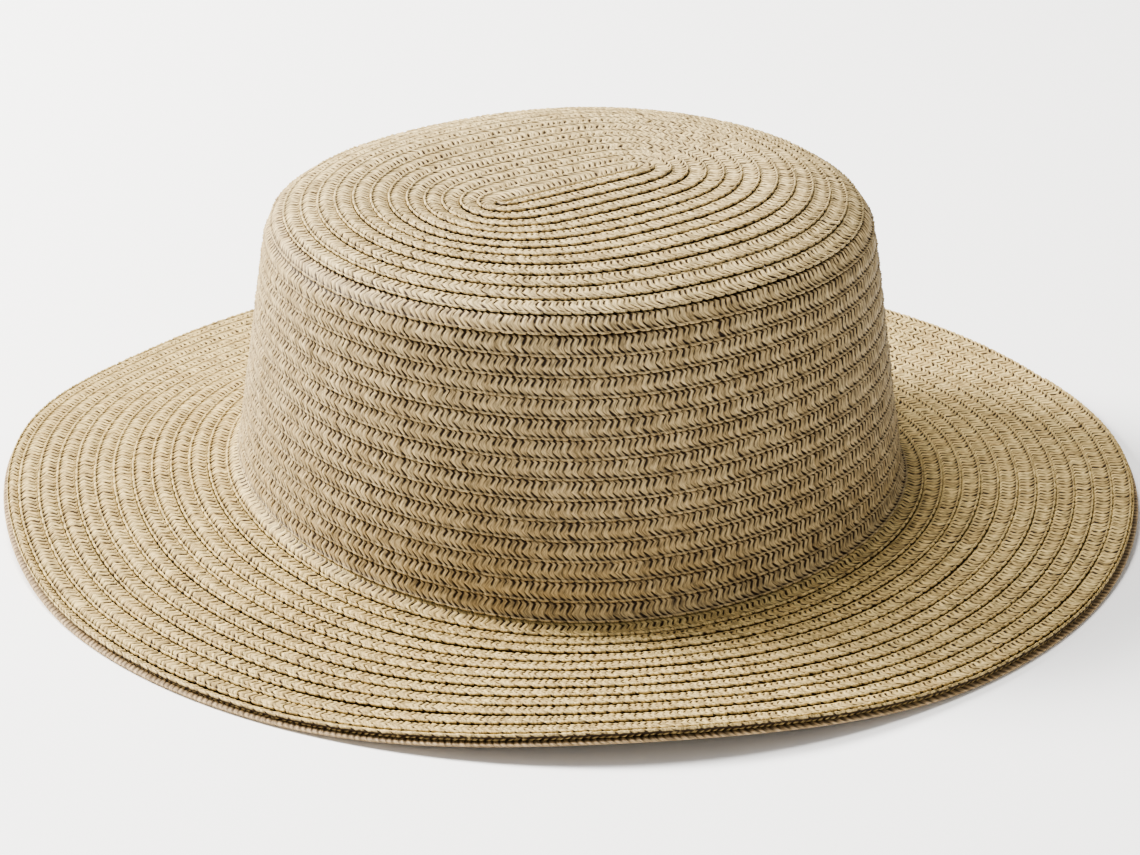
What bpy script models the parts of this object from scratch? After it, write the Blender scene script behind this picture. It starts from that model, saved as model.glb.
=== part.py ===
"""A straw hat with a low flat-topped crown and a wide brim, sewn from one long braid.

Metres, +Z up. The hat rests on the edge of its brim: the origin is on the surface that it rests on,
under the middle of the crown, -Y is the side that the photograph shows and +X is to its right.

The outer surface follows one profile, which is worked out for each direction around the hat: over the
flat top, round the shoulder, down the side, round the foot and out along the brim. Each round of braid
is a rib on that surface. It starts level with the surface and stands off it at its outer edge, where it
laps over the next round.
"""

from collections import namedtuple
from itertools import accumulate
from math import atan2, cos, hypot, pi, radians, sin

import bmesh
import bpy
from mathutils import Vector

MM = 0.001

# Braid
WALL = 1.1 * MM
ROUND_LIFT = 0.8 * MM
GAP = 0.3 * MM
TIP_ROUNDS = 13
SIDE_ROUNDS = 15
BRIM_ROUNDS = 12

# Flat top, an oval that grows round a hairpin turn of the braid. The side takes over from it at a
# share of the way round the shoulder.
HAIRPIN_HALF_LENGTH = 24 * MM
HAIRPIN_ROUNDNESS = 0.35
TOP_HALF_LENGTH = 87 * MM
TOP_HALF_WIDTH = 78.5 * MM
TOP_TURN = radians(36)
TOP_HEIGHT = 95.5 * MM
TOP_TILT = 2.2 * MM
TOP_TILT_TOWARD = radians(217)
SHOULDER_DROP = 8.2 * MM
FLAT_SHARE = 0.55
SHOULDER_ROUNDING = 6 * MM
SHOULDER_LAP_SHARE = 0.35

# Foot of the crown, which lies higher at the left and dips at the front and the rear. The brim takes
# over from the side at a share of the way round it.
FOOT_HALF_LENGTH = 95.5 * MM
FOOT_HALF_WIDTH = 91 * MM
FOOT_HEIGHT = 7.0 * MM
FOOT_LEAN = 4.0 * MM
FOOT_LEAN_TOWARD = radians(175)
FOOT_SADDLE = 4.0 * MM
FOOT_SADDLE_ALONG = radians(172)
FOOT_ROUNDING = 5 * MM
FOOT_LAP_SHARE = 0.65

# Brim, with an edge that lies on the surface in four places and is lifted between them
BRIM_WIDTH = 67 * MM
EDGE_LIFT = 7.3 * MM
EDGE_ROUND_THICKNESS = 1.0 * MM
EDGE_ROUND_WIDTH = 6 * MM
EDGE_ROUND_SHOW = 1.3 * MM

Lift = namedtuple("Lift", "toward spread share")
EDGE_LIFTS = (
    Lift(toward=radians(0), spread=radians(31), share=0.40),
    Lift(toward=radians(90), spread=radians(37), share=0.42),
    Lift(toward=radians(178), spread=radians(36), share=1.00),
    Lift(toward=radians(277), spread=radians(39), share=0.70),
)

# Faceting
COLUMNS = 56
ROUNDING_STEPS = 6
FLAT_STEPS = 16
LINING_ROUNDS_APART = 3


def turned(x, y, angle):
    """A point of the plan, turned about the middle of the crown."""
    return Vector((x * cos(angle) - y * sin(angle), x * sin(angle) + y * cos(angle)))


def top_oval(share, around):
    """Plan of the flat top: a slot round the hairpin at share 0 and the shoulder's oval at share 1."""
    side = cos(around) * hypot(1, HAIRPIN_ROUNDNESS) / hypot(cos(around), HAIRPIN_ROUNDNESS)
    straight = HAIRPIN_HALF_LENGTH + (TOP_HALF_LENGTH - TOP_HALF_WIDTH - HAIRPIN_HALF_LENGTH) * share
    bend = TOP_HALF_WIDTH * share
    return turned(straight * side + bend * cos(around), bend * sin(around), TOP_TURN)


def foot_radius(toward):
    """How far the oval foot of the crown lies from the middle, in a direction of the plan."""
    return FOOT_HALF_LENGTH * FOOT_HALF_WIDTH / hypot(
        FOOT_HALF_WIDTH * cos(toward), FOOT_HALF_LENGTH * sin(toward)
    )


def top_height(point):
    """Height of the flat top's plane, which is a little higher at the front left."""
    along = point.x * cos(TOP_TILT_TOWARD) + point.y * sin(TOP_TILT_TOWARD)
    return TOP_HEIGHT + TOP_TILT * along / TOP_HALF_LENGTH


def foot_height(toward):
    """Height of the foot of the crown, in a direction of the plan."""
    lean = FOOT_LEAN * cos(toward - FOOT_LEAN_TOWARD)
    saddle = FOOT_SADDLE * cos(2 * (toward - FOOT_SADDLE_ALONG))
    return FOOT_HEIGHT + lean + saddle


def edge_bottom(toward):
    """Height of the underside of the brim's edge: zero where the hat rests, lifted between those places."""
    height = 0.0
    for lift in EDGE_LIFTS:
        apart = abs((toward - lift.toward + pi) % (2 * pi) - pi)
        if apart < lift.spread:
            height += EDGE_LIFT * lift.share * cos(pi / 2 * apart / lift.spread) ** 2
    return height


def rounded_corner(before, corner, after, rounding):
    """Points of a curve that takes a corner's place."""
    start = corner + (before - corner).normalized() * rounding
    end = corner + (after - corner).normalized() * rounding
    points = []
    for step in range(ROUNDING_STEPS + 1):
        share = step / ROUNDING_STEPS
        points.append(start.lerp(corner, share).lerp(corner.lerp(end, share), share))
    return points


class Profile:
    """The hat's outer surface in one direction: points from the hairpin to the edge of the brim.

    A place on it is a length from the hairpin. The shoulder, the foot and the edge are the lengths
    where one stretch of braid ends and the next begins.
    """

    def __init__(self, around):
        start = top_oval(0, around)
        rim = top_oval(1, around)
        self.toward = atan2(rim.y, rim.x)
        self.across_top = (rim - start).normalized()
        self.out = rim.normalized()
        foot = self.out * foot_radius(self.toward)
        edge = self.out * (foot.length + BRIM_WIDTH)

        flat = []
        for step in range(FLAT_STEPS + 1):
            share = step / FLAT_STEPS
            plan = start.lerp(rim, share)
            fall = max(0.0, (share - FLAT_SHARE) / (1 - FLAT_SHARE)) ** 2
            flat.append(Vector((plan.x, plan.y, top_height(plan) - SHOULDER_DROP * fall)))
        rim_point = flat.pop()
        foot_point = Vector((foot.x, foot.y, foot_height(self.toward)))
        edge_height = edge_bottom(self.toward) + EDGE_ROUND_THICKNESS + GAP + WALL
        edge_point = Vector((edge.x, edge.y, edge_height))
        shoulder = rounded_corner(flat[-1], rim_point, foot_point, SHOULDER_ROUNDING)
        ankle = rounded_corner(rim_point, foot_point, edge_point, FOOT_ROUNDING)
        flat = [point for point in flat if (point - rim_point).length > SHOULDER_ROUNDING]

        self.points = flat + shoulder + ankle + [edge_point]
        self.flat_pieces = len(flat)
        steps = [(b - a).length for a, b in zip(self.points, self.points[1:])]
        self.lengths = [0.0, *accumulate(steps)]
        self.shoulder = self.along_corner(len(flat), SHOULDER_LAP_SHARE)
        self.foot = self.along_corner(len(flat) + len(shoulder), FOOT_LAP_SHARE)
        self.edge = self.lengths[-1]

    def along_corner(self, first, share):
        """Length to a share of the way round a rounded corner, which begins at the point numbered first."""
        begin, end = self.lengths[first], self.lengths[first + ROUNDING_STEPS]
        return begin + (end - begin) * share

    def span(self, length):
        """Index of the straight piece of the profile that holds a length, and the share along it."""
        last = len(self.points) - 2
        index = 0
        while index < last and self.lengths[index + 1] <= length:
            index += 1
        step = self.lengths[index + 1] - self.lengths[index]
        return index, (length - self.lengths[index]) / step

    def heading(self, index):
        """Outward direction of the plan in which one straight piece of the profile runs."""
        return self.across_top if index < self.flat_pieces else self.out

    def slope(self, index):
        """Direction of one straight piece of the profile, as (outward, upward)."""
        index = min(max(index, 0), len(self.points) - 2)
        step = self.points[index + 1] - self.points[index]
        return Vector((step.xy.dot(self.heading(index)), step.z)).normalized()

    def at(self, length, off):
        """The point at a length from the hairpin, a distance off the surface."""
        index, share = self.span(length)
        place = self.points[index].lerp(self.points[index + 1], share)
        beside = index + (1 if share > 0.5 else -1)
        slope = self.slope(index).lerp(self.slope(beside), abs(share - 0.5)).normalized()
        return place + (self.heading(index) * -slope.y).to_3d() * off + Vector((0, 0, slope.x)) * off


def ribbed(profile, start, end, rounds):
    """Outer points of a stretch of braid: two for each round, at its inner and its outer edge."""
    pitch = (end - start) / rounds
    points = []
    for number in range(rounds):
        points.append(profile.at(start + number * pitch, 0))
        points.append(profile.at(start + (number + 1) * pitch, ROUND_LIFT))
    return points


def lining(profile, start, end, rounds):
    """Inner points of a stretch of braid, a wall's thickness behind its surface."""
    steps = max(1, round(rounds / LINING_ROUNDS_APART))
    return [profile.at(start + (end - start) * step / steps, -WALL) for step in range(steps + 1)]


def straw(name, color, roughness):
    """Straw of one shade."""
    material = bpy.data.materials.new(name)
    material.use_nodes = True
    shader = material.node_tree.nodes["Principled BSDF"]
    shader.inputs["Base Color"].default_value = (*color, 1)
    shader.inputs["Roughness"].default_value = roughness
    shader.inputs["Metallic"].default_value = 0
    return material


def object_from(name, mesh_in_progress, material, collection):
    """A named object, shaded smooth but for the steps between its rounds."""
    mesh = bpy.data.meshes.new(name)
    mesh_in_progress.to_mesh(mesh)
    mesh_in_progress.free()
    mesh.materials.append(material)
    mesh.shade_smooth()
    mesh.set_sharp_from_angle(angle=radians(40))
    made = bpy.data.objects.new(name, mesh)
    collection.objects.link(made)
    return made


def bridge(shape, first, second, is_ring):
    """Faces between two rows of points, of which each point has its partner in the other row."""
    count = len(first)
    for index in range(count if is_ring else count - 1):
        following = (index + 1) % count
        shape.faces.new((first[index], first[following], second[following], second[index]))


def hoop(name, sections, material, collection):
    """A closed hoop, lofted through one closed section for each direction around the hat."""
    shape = bmesh.new()
    rows = [[shape.verts.new(point) for point in section] for section in sections]
    for first, second in zip(rows, rows[1:] + rows[:1]):
        bridge(shape, first, second, is_ring=True)
    return object_from(name, shape, material, collection)


def dome(name, sections, material, collection):
    """A closed cap, lofted through one open section for each direction, with a flat middle."""
    shape = bmesh.new()
    rows = [[shape.verts.new(point) for point in section] for section in sections]
    for first, second in zip(rows, rows[1:] + rows[:1]):
        bridge(shape, first, second, is_ring=False)
    shape.faces.new([row[0] for row in rows])
    shape.faces.new([row[-1] for row in reversed(rows)])
    return object_from(name, shape, material, collection)


def crown_tip(profiles, collection):
    """Flat top with its falling rim. The middle, inside the first round, is flat."""
    sections = []
    for profile in profiles:
        outer = ribbed(profile, 0, profile.shoulder, TIP_ROUNDS)[1:]
        inner = lining(profile, 0, profile.shoulder, TIP_ROUNDS)[1:]
        sections.append(outer + inner[::-1])
    return dome("crown_tip", sections, straw("tip_straw", (0.62, 0.50, 0.32), 0.72), collection)


def crown_side(profiles, collection):
    """Tapered wall of the crown."""
    sections = []
    for profile in profiles:
        stretch = (profile.shoulder + GAP, profile.foot, SIDE_ROUNDS)
        sections.append(ribbed(profile, *stretch) + lining(profile, *stretch)[::-1])
    return hoop("crown_side", sections, straw("side_straw", (0.50, 0.38, 0.23), 0.75), collection)


def brim(profiles, collection):
    """Waved brim."""
    sections = []
    for profile in profiles:
        stretch = (profile.foot + GAP, profile.edge, BRIM_ROUNDS)
        sections.append(ribbed(profile, *stretch) + lining(profile, *stretch)[::-1])
    return hoop("brim", sections, straw("brim_straw", (0.58, 0.46, 0.29), 0.72), collection)


def edge_round(profiles, collection):
    """Last turn of braid, under the edge of the brim, with a level underside that the hat rests on."""
    sections = []
    for profile in profiles:
        out = Vector((cos(profile.toward), sin(profile.toward), 0))
        level = Vector((0, 0, edge_bottom(profile.toward)))
        outer_top = profile.at(profile.edge, -WALL - GAP)
        inner_top = profile.at(profile.edge - EDGE_ROUND_WIDTH + EDGE_ROUND_SHOW, -WALL - GAP)
        rim = out * (outer_top.xy.length + EDGE_ROUND_SHOW)
        rim_top = rim + Vector((0, 0, outer_top.z))
        inner_bottom = out * inner_top.xy.length + level
        sections.append([inner_top, outer_top, rim_top, rim + level, inner_bottom])
    return hoop("edge_round", sections, straw("edge_straw", (0.42, 0.30, 0.18), 0.78), collection)


def main():
    for old in list(bpy.data.objects):
        bpy.data.objects.remove(old)
    collection = bpy.data.collections.new("straw_hat")
    bpy.context.scene.collection.children.link(collection)
    profiles = [Profile(2 * pi * column / COLUMNS) for column in range(COLUMNS)]
    crown_tip(profiles, collection)
    crown_side(profiles, collection)
    brim(profiles, collection)
    edge_round(profiles, collection)


main()
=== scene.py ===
"""Looks of the straw hat: the paper-straw braid that it is sewn from, in real relief.

One long braid winds round from the hairpin in the middle of the top to the edge of the brim. The hat's
surface is worked out as in the solid model, for each direction around the hat, and the braid's closed
section is swept over it. Strands run zigzag across each round, with a beaded edge that laps over the
next round. Lengths are in metres, and a place along the braid is a number of turns round the hat.
"""

from collections import namedtuple
from itertools import accumulate
from math import atan2, cos, hypot, pi, radians, sin

import bpy
import numpy as np
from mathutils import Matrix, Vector


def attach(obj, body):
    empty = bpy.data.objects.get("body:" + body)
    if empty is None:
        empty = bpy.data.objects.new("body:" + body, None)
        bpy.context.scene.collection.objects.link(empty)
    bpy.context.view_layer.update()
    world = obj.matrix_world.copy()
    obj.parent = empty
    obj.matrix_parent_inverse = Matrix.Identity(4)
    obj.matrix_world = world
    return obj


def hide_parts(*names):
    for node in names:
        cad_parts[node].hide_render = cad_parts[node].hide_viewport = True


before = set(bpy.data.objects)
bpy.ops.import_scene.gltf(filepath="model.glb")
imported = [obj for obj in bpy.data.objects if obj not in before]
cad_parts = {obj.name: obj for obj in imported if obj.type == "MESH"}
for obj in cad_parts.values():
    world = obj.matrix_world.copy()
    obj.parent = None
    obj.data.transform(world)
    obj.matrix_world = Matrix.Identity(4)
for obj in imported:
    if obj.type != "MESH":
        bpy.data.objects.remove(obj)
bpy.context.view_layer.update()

MM = 0.001

# Sizes of the hat, as in the solid model
WALL = 1.1 * MM
GAP = 0.3 * MM
TIP_ROUNDS = 13
SIDE_ROUNDS = 15
BRIM_ROUNDS = 12
HAIRPIN_HALF_LENGTH = 24 * MM
HAIRPIN_ROUNDNESS = 0.35
TOP_HALF_LENGTH = 87 * MM
TOP_HALF_WIDTH = 78.5 * MM
TOP_TURN = radians(36)
TOP_HEIGHT = 95.5 * MM
TOP_TILT = 2.2 * MM
TOP_TILT_TOWARD = radians(217)
SHOULDER_DROP = 8.2 * MM
FLAT_SHARE = 0.55
SHOULDER_ROUNDING = 6 * MM
SHOULDER_LAP_SHARE = 0.35
FOOT_HALF_LENGTH = 95.5 * MM
FOOT_HALF_WIDTH = 91 * MM
FOOT_HEIGHT = 7.0 * MM
FOOT_LEAN = 4.0 * MM
FOOT_LEAN_TOWARD = radians(175)
FOOT_SADDLE = 4.0 * MM
FOOT_SADDLE_ALONG = radians(172)
FOOT_ROUNDING = 5 * MM
FOOT_LAP_SHARE = 0.65
BRIM_WIDTH = 67 * MM
EDGE_LIFT = 7.3 * MM
EDGE_ROUND_THICKNESS = 1.0 * MM
EDGE_ROUND_WIDTH = 6 * MM
EDGE_ROUND_SHOW = 1.3 * MM

Lift = namedtuple("Lift", "toward spread share")
EDGE_LIFTS = (
    Lift(toward=radians(0), spread=radians(31), share=0.40),
    Lift(toward=radians(90), spread=radians(37), share=0.42),
    Lift(toward=radians(178), spread=radians(36), share=1.00),
    Lift(toward=radians(277), spread=radians(39), share=0.70),
)
ROUNDING_STEPS = 6
FLAT_STEPS = 16
ALL_ROUNDS = TIP_ROUNDS + SIDE_ROUNDS + BRIM_ROUNDS
BRIM_PITCH = BRIM_WIDTH / BRIM_ROUNDS

# Grid on which the surface is worked out
DIRECTIONS = 360
STEPS_PER_ROUND = 4

# Strands of the braid: a slot, then two columns of points over the strand beside it
STRAND_PITCH = 1.83 * MM
ACROSS_STRAND = (0.0, 0.42, 0.64)
SEED = 7

# The braid's section, from its hidden inner edge over the top to the bead and back underneath. Across is
# a share of the round. Lean is how far, in millimetres, a strand has run along the braid there. Crest and
# slot are the heights in millimetres of a strand and of the slot beside it, off the hat's surface, and
# hole is the height in each second slot, which is more open. The three painted-shade values are how much
# painted shade each of them gets: darkening painted into the colour where shade falls, in the slots and
# holes, in the groove inside the bead, at the foot of the bead and where the lip goes under the round
# before. Notch is how far the bead is drawn in at a hole.
Place = namedtuple("Place", "across lean crest slot hole crevice slot_crevice hole_crevice notch")
TOP_PLACES = (
    Place(-0.06, -0.60, -0.22, -0.50, -0.50, 0.70, 1.00, 1.00, 0.00),
    Place(0.05, -0.45, 0.10, -0.22, -0.28, 0.40, 1.00, 1.00, 0.00),
    Place(0.16, 0.05, 0.28, -0.05, -0.10, 0.00, 1.00, 1.00, 0.00),
    Place(0.36, -0.60, 0.50, 0.15, 0.10, 0.00, 0.85, 1.00, 0.00),
    Place(0.54, -1.00, 0.60, 0.45, 0.45, 0.00, 0.45, 0.40, 0.00),
    Place(0.70, -0.45, 0.58, 0.30, 0.25, 0.05, 0.55, 0.85, 0.00),
    Place(0.85, 0.45, 0.52, 0.15, 0.00, 0.38, 1.00, 1.40, 0.00),
    Place(0.93, 0.85, 1.00, 0.85, 0.70, 0.00, 0.08, 0.40, 0.02),
    Place(1.00, 1.10, 0.50, 0.42, 0.20, 0.10, 0.35, 1.00, 0.05),
    Place(0.985, 1.10, -0.12, -0.15, -0.15, 0.80, 0.95, 1.00, 0.05),
)
UNDER_PLACES = (
    Place(0.75, 0.00, -1.15, -0.95, -0.90, 0.10, 0.90, 0.90, 0.00),
    Place(0.00, 0.90, -1.40, -1.20, -1.10, 0.10, 0.90, 0.90, 0.00),
)
# Places nearer the inner edge than this belong to the lip, which goes under the round before
LIP_ACROSS = 0.1

# How far strands differ from one another, and how the braid wavers along its length
DEPTH_RANGE = (0.75, 1.2)
OWN_DEPTH_RANGE = (0.6, 1.2)
HEIGHT_SPREAD = 0.06
SWAY_SPREAD = 0.14
OWN_SWAY_SPREAD = 0.08
LIFT_WAVE = 45 * MM
LIFT_AMOUNT = 0.12 * MM
EDGE_WAVE = 30 * MM
EDGE_WAVE_AMOUNT = 0.025

# The braid begins half a turn round the hairpin. The second time past the hairpin's far side, it reaches
# in to the hairpin's middle line. Until then its lip is folded up beside that line, to the height in
# millimetres of the hairpin's edge.
FIRST_TURN = 0.5
HAIRPIN_END = 1.5
HAIRPIN_FADE = 0.1
HAIRPIN_EDGE = 0.6

# The braid's last turn narrows along the edge of the brim, and ends just before it has no width left
LAST_TURN = ALL_ROUNDS + 0.97

# Where each stretch of the braid begins and ends, in turns, and how much painted shade its lip gets:
# darkening painted into the colour where the lip goes under the round before, full on the crown side and
# weaker on the tip and the brim. The side and the brim are parted so that no stretch has too many triangles.
Stretch = namedtuple("Stretch", "name first last node slot lip_shade")
SIDE_END = TIP_ROUNDS + SIDE_ROUNDS
SIDE_PARTING = TIP_ROUNDS + 8
BRIM_PARTING = SIDE_END + 5
OUTER_PARTING = SIDE_END + 9
STRETCHES = (
    Stretch("tip_braid", FIRST_TURN, TIP_ROUNDS, "crown_tip", "tip_straw", 0.4),
    Stretch("side_braid_upper", TIP_ROUNDS, SIDE_PARTING, "crown_side", "side_straw", 1.0),
    Stretch("side_braid_lower", SIDE_PARTING, SIDE_END, "crown_side", "side_straw", 1.0),
    Stretch("brim_braid_inner", SIDE_END, BRIM_PARTING, "brim", "brim_straw", 0.4),
    Stretch("brim_braid_middle", BRIM_PARTING, OUTER_PARTING, "brim", "brim_straw", 0.4),
    Stretch("brim_braid_outer", OUTER_PARTING, LAST_TURN, "brim", "brim_straw", 0.4),
)

# The section of the turn under the brim's edge, over the top and back underneath. Off is the height in
# millimetres from its own top, slot is how much of the slots' depth it takes, and lean is in strands.
EdgePlace = namedtuple("EdgePlace", "across off slot lean")
EDGE_PLACES = (
    EdgePlace(0.0, 0.0, 0.1, 0.0),
    EdgePlace(0.7, 0.0, 0.1, 0.0),
    EdgePlace(0.93, -0.1, 0.3, 0.2),
    EdgePlace(1.0, -0.45, 0.35, 0.5),
    EdgePlace(0.93, -0.8, 0.2, 0.9),
    EdgePlace(0.5, -0.9, 0.2, 0.9),
    EdgePlace(0.05, -0.85, 0.2, 0.7),
)
EDGE_SLOT_DEPTH = 0.25
# The turn's side and underside lie below the first of these heights in millimetres, and its underside
# below the second. No point of it goes lower than the third, a height above the floor.
EDGE_SIDE = -0.3
EDGE_UNDERSIDE = -0.6
EDGE_LOWEST = 0.02 * MM

# Painted shade on the turn under the edge, darkening put into its colour in its slots and on its strands: on
# top, and then on the rest
Shading = namedtuple("Shading", "slot strand")
EDGE_TOP_PAINTED_SHADE = Shading(slot=0.6, strand=0.3)
EDGE_SIDE_PAINTED_SHADE = Shading(slot=0.25, strand=0.15)

# Colours of the straw: of the lightest and the warmest strands, and the near-black of the painted shade, put
# into the colour in slots, holes, the groove inside the bead and under the lips
Straw = namedtuple("Straw", "light warm")
STRAWS = {
    "tip_straw": Straw(light=(0.74, 0.59, 0.33), warm=(0.56, 0.43, 0.225)),
    # The crown side's straw is darker than the tip's and the brim's, though the braid is one: painted shade
    # on the crown side
    "side_straw": Straw(light=(0.62, 0.485, 0.275), warm=(0.48, 0.36, 0.19)),
    "brim_straw": Straw(light=(0.72, 0.565, 0.28), warm=(0.57, 0.425, 0.20)),
    "edge_straw": Straw(light=(0.60, 0.45, 0.27), warm=(0.54, 0.39, 0.22)),
}
PAINTED_SHADE_COLOR = (0.03, 0.015, 0.005)
PAINTED_SHADE_RANGE = (0.15, 0.75)
STRAW_ROUGHNESS = 0.62
STRAW_SHINE = 0.35
# Streaks in a metre along the braid, in a metre across it and in a thousand strands. The range is the
# part of the noise that is used, and the shades are how dark and how light it makes the straw.
STREAK_STRETCH = (2200, 450, 900)
STREAK_DETAIL = 3.0
STREAK_RANGE = (0.33, 0.62)
STREAK_SHADES = (0.42, 1.0)
BUMP_STRENGTH = 0.5
BUMP_HEIGHT = 0.1 * MM

# Floor and lights of the studio, with powers in watts
FLOOR_SIZE = 10
FLOOR_DROP = 0.2 * MM
FLOOR_COLOR = (0.9, 0.9, 0.9)
FLOOR_ROUGHNESS = 0.9
LIGHTS_AIM = Vector((0, 0, 0.05))
WHITE = (1.0, 1.0, 1.0)
WARM_WHITE = (1.0, 0.98, 0.95)
WORLD_STRENGTH = 0.31
Light = namedtuple("Light", "name place size power color")
LIGHTS = (
    Light("key", (-1.7, 0.5, 1.3), 0.6, 88, WARM_WHITE),
    Light("front fill", (0.4, -2.2, 0.7), 1.5, 14, WHITE),
    Light("overhead", (-0.55, 0.45, 2.2), 0.9, 42, WARM_WHITE),
)

# Camera, as the photograph's
IMAGE_WIDTH = 1140
IMAGE_HEIGHT = 855
CAMERA_ELEVATION = radians(24.1)
CAMERA_DISTANCE = 1.2
CAMERA_TARGET = Vector((0, 0, 46.2 * MM))
TARGET_PIXEL = (571, 345)
PIXELS_PER_RADIAN = 4188
SENSOR_WIDTH = 36


def turned(x, y, angle):
    """A point of the plan, turned about the middle of the crown."""
    return Vector((x * cos(angle) - y * sin(angle), x * sin(angle) + y * cos(angle)))


def top_oval(share, around):
    """Plan of the flat top: a slot round the hairpin at share 0 and the shoulder's oval at share 1."""
    side = cos(around) * hypot(1, HAIRPIN_ROUNDNESS) / hypot(cos(around), HAIRPIN_ROUNDNESS)
    straight = HAIRPIN_HALF_LENGTH + (TOP_HALF_LENGTH - TOP_HALF_WIDTH - HAIRPIN_HALF_LENGTH) * share
    bend = TOP_HALF_WIDTH * share
    return turned(straight * side + bend * cos(around), bend * sin(around), TOP_TURN)


def foot_radius(toward):
    """How far the oval foot of the crown lies from the middle, in a direction of the plan."""
    return FOOT_HALF_LENGTH * FOOT_HALF_WIDTH / hypot(
        FOOT_HALF_WIDTH * cos(toward), FOOT_HALF_LENGTH * sin(toward)
    )


def top_height(point):
    """Height of the flat top's plane, which is a little higher at the front left."""
    along = point.x * cos(TOP_TILT_TOWARD) + point.y * sin(TOP_TILT_TOWARD)
    return TOP_HEIGHT + TOP_TILT * along / TOP_HALF_LENGTH


def foot_height(toward):
    """Height of the foot of the crown, in a direction of the plan."""
    lean = FOOT_LEAN * cos(toward - FOOT_LEAN_TOWARD)
    saddle = FOOT_SADDLE * cos(2 * (toward - FOOT_SADDLE_ALONG))
    return FOOT_HEIGHT + lean + saddle


def edge_bottom(toward):
    """Height of the underside of the brim's edge: zero where the hat rests, lifted between those places."""
    height = 0.0
    for lift in EDGE_LIFTS:
        apart = abs((toward - lift.toward + pi) % (2 * pi) - pi)
        if apart < lift.spread:
            height += EDGE_LIFT * lift.share * cos(pi / 2 * apart / lift.spread) ** 2
    return height


def rounded_corner(before, corner, after, rounding):
    """Points of a curve that takes a corner's place."""
    start = corner + (before - corner).normalized() * rounding
    end = corner + (after - corner).normalized() * rounding
    points = []
    for step in range(ROUNDING_STEPS + 1):
        share = step / ROUNDING_STEPS
        points.append(start.lerp(corner, share).lerp(corner.lerp(end, share), share))
    return points


class Profile:
    """The hat's outer surface in one direction: points from the hairpin to the edge of the brim."""

    def __init__(self, around):
        start = top_oval(0, around)
        rim = top_oval(1, around)
        toward = atan2(rim.y, rim.x)
        out = rim.normalized()
        foot = out * foot_radius(toward)
        edge = out * (foot.length + BRIM_WIDTH)

        flat = []
        for step in range(FLAT_STEPS + 1):
            share = step / FLAT_STEPS
            plan = start.lerp(rim, share)
            fall = max(0.0, (share - FLAT_SHARE) / (1 - FLAT_SHARE)) ** 2
            flat.append(Vector((plan.x, plan.y, top_height(plan) - SHOULDER_DROP * fall)))
        rim_point = flat.pop()
        foot_point = Vector((foot.x, foot.y, foot_height(toward)))
        edge_height = edge_bottom(toward) + EDGE_ROUND_THICKNESS + GAP + WALL
        edge_point = Vector((edge.x, edge.y, edge_height))
        shoulder = rounded_corner(flat[-1], rim_point, foot_point, SHOULDER_ROUNDING)
        ankle = rounded_corner(rim_point, foot_point, edge_point, FOOT_ROUNDING)
        flat = [point for point in flat if (point - rim_point).length > SHOULDER_ROUNDING]

        self.points = flat + shoulder + ankle + [edge_point]
        steps = [(b - a).length for a, b in zip(self.points, self.points[1:])]
        self.lengths = [0.0, *accumulate(steps)]
        shoulder_length = self.along_corner(len(flat), SHOULDER_LAP_SHARE)
        foot_length = self.along_corner(len(flat) + len(shoulder), FOOT_LAP_SHARE)
        self.round_numbers = (0, TIP_ROUNDS, SIDE_END, ALL_ROUNDS)
        self.round_lengths = (0.0, shoulder_length, foot_length, self.lengths[-1])

    def along_corner(self, first, share):
        """Length to a share of the way round a rounded corner, which begins at the point numbered first."""
        begin, end = self.lengths[first], self.lengths[first + ROUNDING_STEPS]
        return begin + (end - begin) * share

    def at(self, rounds):
        """Points of the surface at numbers of rounds from the hairpin. Past the edge it runs on straight."""
        lengths = np.interp(rounds, self.round_numbers, self.round_lengths)
        points = np.array(self.points)
        found = np.stack([np.interp(lengths, self.lengths, points[:, axis]) for axis in range(3)], 1)
        past = np.maximum(np.array(rounds) - ALL_ROUNDS, 0)[:, None] * BRIM_PITCH
        last = points[-1] - points[-2]
        return found + past * last / np.linalg.norm(last)


class Surface:
    """The hat's outer surface as a grid of points and normals, read at any turn and any round."""

    def __init__(self):
        rounds = np.arange((ALL_ROUNDS + 1) * STEPS_PER_ROUND + 1) / STEPS_PER_ROUND
        self.points = np.array([Profile(2 * pi * step / DIRECTIONS).at(rounds) for step in range(DIRECTIONS)])
        along = np.roll(self.points, -1, 0) - np.roll(self.points, 1, 0)
        across = np.gradient(self.points, axis=1)
        normals = np.cross(across, along)
        normals[:, :STEPS_PER_ROUND] = (0, 0, 1)
        self.normals = normals / np.linalg.norm(normals, axis=2, keepdims=True)

    def read(self, grid, turns, rounds):
        """Values of a grid between its points."""
        place = (turns % 1) * DIRECTIONS
        first = np.floor(place).astype(int) % DIRECTIONS
        second = (first + 1) % DIRECTIONS
        aside = (place - np.floor(place))[..., None]
        height = np.clip(rounds, 0, ALL_ROUNDS + 1) * STEPS_PER_ROUND
        low = np.clip(np.floor(height).astype(int), 0, grid.shape[1] - 2)
        above = (height - low)[..., None]
        near = grid[first, low] * (1 - above) + grid[first, low + 1] * above
        far = grid[second, low] * (1 - above) + grid[second, low + 1] * above
        return near * (1 - aside) + far * aside

    def at(self, turns, rounds, off):
        """Points a distance off the surface."""
        normals = self.read(self.normals, turns, rounds)
        normals = normals / np.linalg.norm(normals, axis=-1, keepdims=True)
        return self.read(self.points, turns, rounds) + normals * off[..., None]


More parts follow.
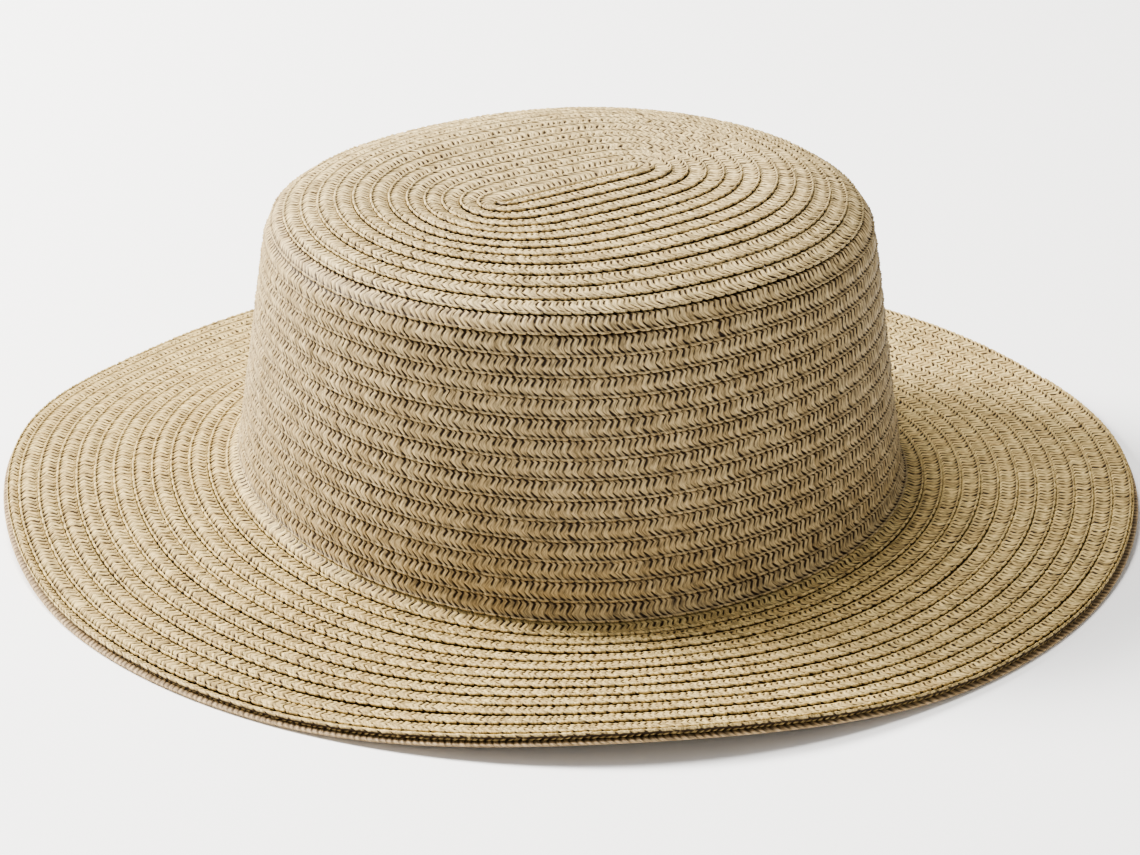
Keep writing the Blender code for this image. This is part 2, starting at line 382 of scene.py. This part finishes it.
class Spiral:
    """The braid's middle line, from the hairpin to its end, one round after another."""

    def __init__(self, surface):
        self.turns = np.arange(FIRST_TURN, ALL_ROUNDS + 1, 1 / DIRECTIONS)
        middle = surface.at(self.turns, np.clip(self.turns - 0.5, 0, ALL_ROUNDS), np.zeros_like(self.turns))
        steps = np.linalg.norm(np.diff(middle, axis=0), axis=1)
        self.lengths = np.concatenate([[0.0], np.cumsum(steps)])

    def turn_at(self, lengths):
        """Turns round the hat at lengths along the braid."""
        return np.interp(lengths, self.lengths, self.turns)

    def length_at(self, turn):
        """Length along the braid at a number of turns."""
        return float(np.interp(turn, self.turns, self.lengths))


def waves(lengths, wavelength, seed):
    """A smooth random line between -1 and 1 along the braid."""
    random = np.random.default_rng(seed)
    knots = np.arange(int(lengths.max() / wavelength) + 3)
    values = random.uniform(-1, 1, len(knots))
    place = lengths / wavelength
    low = np.floor(place).astype(int)
    share = place - low
    share = share * share * (3 - 2 * share)
    return values[low] * (1 - share) + values[low + 1] * share


def per_strand(values):
    """One value a strand, given to each of its columns."""
    return np.repeat(values, len(ACROSS_STRAND))


def fibre_places(lengths, across, strands):
    """Where each point lies on the straw: along the braid, across it, and on which strand."""
    columns = np.broadcast_arrays(lengths[:, None], np.array(across), strands[:, None] * MM)
    return np.stack(columns, -1)


def inner_edge(turns):
    """Round number of the braid's inner edge, which reaches in to the middle line at the hairpin."""
    return np.maximum(turns - 1, 0) * np.clip((turns - HAIRPIN_END) / HAIRPIN_FADE + 1, 0, 1)


def hairpin_fold(turns):
    """How far the lip is folded up to the braid's own height, from 0 to 1, beside the hairpin's line."""
    return np.clip((turns - 1) / HAIRPIN_FADE, 0, 1) * (turns < HAIRPIN_END)


def braid(name, surface, spiral, first_turn, last_turn, lip_painted_shade, seed):
    """A stretch of the braid as a closed ribbon, with three columns of points to each strand."""
    places = TOP_PLACES + UNDER_PLACES
    first = round(spiral.length_at(first_turn) / STRAND_PITCH)
    last = round(spiral.length_at(last_turn) / STRAND_PITCH)
    count = last - first
    strands = per_strand(np.arange(first, last))
    shares = np.tile(ACROSS_STRAND, count)
    lengths = (strands + shares) * STRAND_PITCH
    in_slot = shares == 0
    in_hole = in_slot & (strands % 2 == 0)

    random = np.random.default_rng(seed)
    depth = per_strand(random.uniform(*DEPTH_RANGE, count))
    height = np.where(in_slot, 0, per_strand(random.normal(0, HEIGHT_SPREAD, count))) * MM
    tone = per_strand(random.uniform(0, 1, count))
    sway = per_strand(random.normal(0, SWAY_SPREAD, count)) * MM
    lift = waves(lengths, LIFT_WAVE, SEED + 1) * LIFT_AMOUNT
    edge_sway = waves(lengths, EDGE_WAVE, SEED + 2) * EDGE_WAVE_AMOUNT

    points = []
    painted_shades = []
    for place in places:
        own_depth = depth * per_strand(random.uniform(*OWN_DEPTH_RANGE, count))
        own_sway = sway + per_strand(random.normal(0, OWN_SWAY_SPREAD, count)) * MM
        turns = spiral.turn_at(lengths + place.lean * MM + own_sway)
        inner = inner_edge(turns)
        outer = np.minimum(turns, ALL_ROUNDS)
        rounds = inner + (outer - inner) * (place.across + edge_sway - place.notch * in_hole)
        down = np.where(in_hole, place.hole, place.slot)
        off = np.where(in_slot, place.crest + (down - place.crest) * own_depth, place.crest) * MM + height
        if 0 < place.across < LIP_ACROSS:
            off = off + (HAIRPIN_EDGE * MM - off) * hairpin_fold(turns)
        points.append(surface.at(turns, rounds, off + lift))
        # Painted shade at this place: darkening painted into the colour in the slots and holes and on the
        # strands where shade falls, scaled at the lip by the stretch's lip shade
        dark = np.where(in_hole, place.hole_crevice, place.slot_crevice)
        crevice = np.where(in_slot, np.minimum(dark * own_depth, 1), place.crevice)
        painted_shades.append(crevice * lip_painted_shade if place.across < LIP_ACROSS else crevice)
    fibres = fibre_places(lengths, [place.across * BRIM_PITCH for place in places], strands)
    return ribbon(name, np.stack(points, 1), np.stack(painted_shades, 1), tone, fibres)


def edge_turn(surface, spiral):
    """Last turn of braid, sewn under the edge of the brim."""
    inner = ALL_ROUNDS - (EDGE_ROUND_WIDTH - EDGE_ROUND_SHOW) / BRIM_PITCH
    outer = ALL_ROUNDS + EDGE_ROUND_SHOW / BRIM_PITCH
    girth = spiral.length_at(ALL_ROUNDS) - spiral.length_at(ALL_ROUNDS - 1)
    count = 2 * round(girth / STRAND_PITCH / 2)
    strands = per_strand(np.arange(count))
    shares = np.tile(ACROSS_STRAND, count)
    turns = (strands + shares) / count
    in_slot = shares == 0
    random = np.random.default_rng(SEED)
    tone = per_strand(random.uniform(0, 1, count))
    top = -WALL - GAP

    points = []
    painted_shades = []
    for place in EDGE_PLACES:
        rounds = np.full(len(turns), inner + (outer - inner) * place.across)
        inward = 1 if place.off > EDGE_UNDERSIDE else -1
        depth = np.where(in_slot, EDGE_SLOT_DEPTH * place.slot, 0) * inward
        ring = surface.at(turns + place.lean * STRAND_PITCH / girth, rounds, top + (place.off - depth) * MM)
        ring[:, 2] = np.maximum(ring[:, 2], EDGE_LOWEST)
        points.append(ring)
        # Painted shade on the edge turn: darker on its top, which lies mostly under the brim's last round,
        # than on its side and underside
        painted_edge_shade = EDGE_SIDE_PAINTED_SHADE if place.off < EDGE_SIDE else EDGE_TOP_PAINTED_SHADE
        painted_shades.append(np.where(in_slot, painted_edge_shade.slot, painted_edge_shade.strand))
    across = [place.across * EDGE_ROUND_WIDTH for place in EDGE_PLACES]
    fibres = fibre_places(turns * girth, across, strands)
    return ribbon("edge_braid", np.stack(points, 1), np.stack(painted_shades, 1), tone, fibres, is_ring=True)


def ribbon(name, points, painted_shades, tone, fibres, is_ring=False):
    """A closed mesh swept through one ring of points a column."""
    columns, around, _ = points.shape
    index = np.arange(columns * around).reshape(columns, around)
    here = index if is_ring else index[:-1]
    following = np.roll(index, -1, 0) if is_ring else index[1:]
    beside = np.roll(here, -1, 1)
    beside_following = np.roll(following, -1, 1)
    faces = np.stack([here, beside, beside_following, following], -1).reshape(-1, 4).tolist()
    if not is_ring:
        faces.append(index[0][::-1].tolist())
        faces.append(index[-1].tolist())

    mesh = bpy.data.meshes.new(name)
    mesh.from_pydata(points.reshape(-1, 3), [], faces)
    mesh.shade_smooth()
    add_values(mesh, "crevice", "FLOAT", painted_shades)
    add_values(mesh, "tone", "FLOAT", np.repeat(tone, around))
    add_values(mesh, "fibre", "FLOAT_VECTOR", fibres)
    made = bpy.data.objects.new(name, mesh)
    bpy.context.scene.collection.objects.link(made)
    return made


def add_values(mesh, name, kind, values):
    """One value, or one vector, for each point of a mesh."""
    attribute = mesh.attributes.new(name, kind, "POINT")
    attribute.data.foreach_set("vector" if kind == "FLOAT_VECTOR" else "value", np.ravel(values))


def read_value(nodes, name):
    """Node that reads one of the values stored at the points of the mesh."""
    node = nodes.new("ShaderNodeAttribute")
    node.attribute_name = name
    return node


def remapped(nodes, links, value, source, target=(0.0, 1.0), curve="LINEAR"):
    """Output with a value taken from one range to another."""
    node = nodes.new("ShaderNodeMapRange")
    node.interpolation_type = curve
    node.inputs["From Min"].default_value, node.inputs["From Max"].default_value = source
    node.inputs["To Min"].default_value, node.inputs["To Max"].default_value = target
    links.new(value, node.inputs["Value"])
    return node.outputs["Result"]


def straw_shade(nodes, links, look):
    """Shade of a strand, between the warmest and the lightest."""
    shades = nodes.new("ShaderNodeValToRGB")
    shades.color_ramp.elements[0].color = (*look.warm, 1)
    shades.color_ramp.elements[1].color = (*look.light, 1)
    links.new(read_value(nodes, "tone").outputs["Fac"], shades.inputs["Fac"])
    return shades.outputs["Color"]


def fibre_streaks(nodes, links):
    """Fine streaks that run along the fibres of each strand."""
    stretch = nodes.new("ShaderNodeVectorMath")
    stretch.operation = "MULTIPLY"
    stretch.inputs[1].default_value = STREAK_STRETCH
    links.new(read_value(nodes, "fibre").outputs["Vector"], stretch.inputs[0])
    streaks = nodes.new("ShaderNodeTexNoise")
    streaks.inputs["Scale"].default_value = 1.0
    streaks.inputs["Detail"].default_value = STREAK_DETAIL
    links.new(stretch.outputs["Vector"], streaks.inputs["Vector"])
    return streaks.outputs["Fac"]


def straw(name, look):
    """Paper straw: strands of slightly different shades, fine fibres along them, and painted shade in the
    slots, holes and under the lips.
    """
    material = bpy.data.materials.new(name)
    material.use_nodes = True
    nodes = material.node_tree.nodes
    links = material.node_tree.links
    shader = nodes["Principled BSDF"]
    shader.inputs["Roughness"].default_value = STRAW_ROUGHNESS
    shader.inputs["Specular IOR Level"].default_value = STRAW_SHINE

    streaks = fibre_streaks(nodes, links)
    streaked = nodes.new("ShaderNodeMix")
    streaked.data_type = "RGBA"
    streaked.blend_type = "MULTIPLY"
    streaked.inputs["Factor"].default_value = 1.0
    links.new(straw_shade(nodes, links, look), streaked.inputs["A"])
    links.new(remapped(nodes, links, streaks, STREAK_RANGE, STREAK_SHADES), streaked.inputs["B"])

    # Painted shade: the near-black colour mixed in by the stored painted-shade value, where shade falls in
    # slots and holes and under the lips
    shaded = nodes.new("ShaderNodeMix")
    shaded.data_type = "RGBA"
    shaded.inputs["B"].default_value = (*PAINTED_SHADE_COLOR, 1)
    crevice = read_value(nodes, "crevice").outputs["Fac"]
    depth = remapped(nodes, links, crevice, PAINTED_SHADE_RANGE, curve="SMOOTHSTEP")
    links.new(depth, shaded.inputs["Factor"])
    links.new(streaked.outputs["Result"], shaded.inputs["A"])
    links.new(shaded.outputs["Result"], shader.inputs["Base Color"])

    bump = nodes.new("ShaderNodeBump")
    bump.inputs["Strength"].default_value = BUMP_STRENGTH
    bump.inputs["Distance"].default_value = BUMP_HEIGHT
    links.new(streaks, bump.inputs["Height"])
    links.new(bump.outputs["Normal"], shader.inputs["Normal"])
    return material


def plain(name, color, roughness):
    """One plain colour, for the floor."""
    material = bpy.data.materials.new(name)
    material.use_nodes = True
    shader = material.node_tree.nodes["Principled BSDF"]
    shader.inputs["Base Color"].default_value = (*color, 1)
    shader.inputs["Roughness"].default_value = roughness
    return material


def dress(piece, node, material):
    """Ties a piece to the hat, in the place of a node of the solid model."""
    piece.data.materials.append(material)
    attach(piece, "root")
    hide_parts(node)


def hat():
    """All stretches of the braid."""
    surface = Surface()
    spiral = Spiral(surface)
    straws = {slot: straw(slot, look) for slot, look in STRAWS.items()}
    for number, (name, first, last, node, slot, lip_painted_shade) in enumerate(STRETCHES):
        piece = braid(name, surface, spiral, first, last, lip_painted_shade, SEED + number)
        dress(piece, node, straws[slot])
    dress(edge_turn(surface, spiral), "edge_round", straws["edge_straw"])


def floor():
    """Plain pale floor."""
    bpy.ops.mesh.primitive_plane_add(size=FLOOR_SIZE, location=(0, 0, -FLOOR_DROP))
    ground = bpy.context.object
    ground.name = "floor"
    ground.data.materials.append(plain("floor_white", FLOOR_COLOR, FLOOR_ROUGHNESS))


def area_light(light):
    """A soft light that faces the hat."""
    data = bpy.data.lights.new(light.name, "AREA")
    data.size = light.size
    data.energy = light.power
    data.color = light.color
    made = bpy.data.objects.new(light.name, data)
    made.location = light.place
    made.rotation_euler = (LIGHTS_AIM - Vector(light.place)).to_track_quat("-Z", "Y").to_euler()
    bpy.context.scene.collection.objects.link(made)


def lights():
    """Key light from the upper left and a little behind, two weaker lights, and a weak fill all round."""
    for light in LIGHTS:
        area_light(light)
    world = bpy.data.worlds.new("studio")
    bpy.context.scene.world = world
    world.use_nodes = True
    world.node_tree.nodes["Background"].inputs["Color"].default_value = (*WHITE, 1)
    world.node_tree.nodes["Background"].inputs["Strength"].default_value = WORLD_STRENGTH


def camera():
    """Camera of the photograph: a long lens, with its frame shifted so that the hat sits where it does."""
    data = bpy.data.cameras.new("camera")
    data.sensor_width = SENSOR_WIDTH
    data.lens = SENSOR_WIDTH * PIXELS_PER_RADIAN / IMAGE_WIDTH
    data.shift_x = (IMAGE_WIDTH / 2 - TARGET_PIXEL[0]) / IMAGE_WIDTH
    data.shift_y = (TARGET_PIXEL[1] - IMAGE_HEIGHT / 2) / IMAGE_WIDTH
    made = bpy.data.objects.new("camera", data)
    back = Vector((0, -cos(CAMERA_ELEVATION), sin(CAMERA_ELEVATION)))
    made.location = CAMERA_TARGET + back * CAMERA_DISTANCE
    made.rotation_euler = (pi / 2 - CAMERA_ELEVATION, 0, 0)
    bpy.context.scene.collection.objects.link(made)
    bpy.context.scene.camera = made


bpy.context.scene.view_settings.look = "AgX - High Contrast"
hat()
floor()
lights()
camera()
